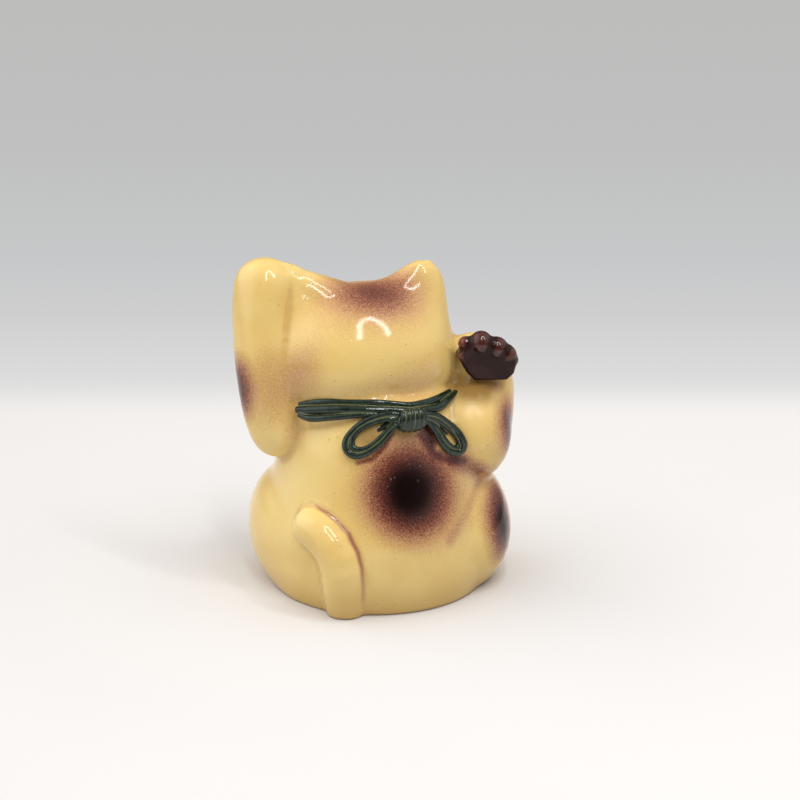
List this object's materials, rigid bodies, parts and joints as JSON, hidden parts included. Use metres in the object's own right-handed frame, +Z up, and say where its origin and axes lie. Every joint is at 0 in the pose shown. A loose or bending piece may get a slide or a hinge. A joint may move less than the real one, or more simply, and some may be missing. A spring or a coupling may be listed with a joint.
{
  "type": "lucky cat figurine",
  "caption": "Seated ceramic cat ornament with one paw raised beside its ear, a charm in the other, a cord collar tied in a bow behind and a bell on the chest.",
  "frame": {"origin": "on the surface that the figure stands on, under the middle of its box", "axes": "+Z up, -Y the way the cat faces, +X its own left, where the raised paw is"},
  "size_m": [0.0612, 0.0536, 0.0714],
  "materials": {
    "cream_glaze": "glossy cream glaze with sprayed brown patches",
    "green_glaze": "glossy dark green glaze, thin and yellow on the ridges",
    "brown_glaze": "glossy iron-brown glaze, rust-red on the edges",
    "ochre_glaze": "glossy ochre glaze"
  },
  "bodies": {
    "root": {"body_shell": "cream_glaze", "head": "cream_glaze", "raised_arm": "cream_glaze", "holding_arm": "cream_glaze", "tail": "cream_glaze", "held_charm": "brown_glaze", "collar_left_lower": "green_glaze", "collar_left_middle": "green_glaze", "collar_left_upper": "green_glaze", "collar_right_lower": "green_glaze", "collar_right_middle": "green_glaze", "collar_right_upper": "green_glaze", "collar_front_lower": "green_glaze", "collar_front_middle": "green_glaze", "collar_front_upper": "green_glaze", "bow_knot": "green_glaze", "bow_left_loop_outer": "green_glaze", "bow_left_loop_inner": "green_glaze", "bow_right_loop_outer": "green_glaze", "bow_right_loop_inner": "green_glaze", "bell": "ochre_glaze"}
  },
  "joints": []
}
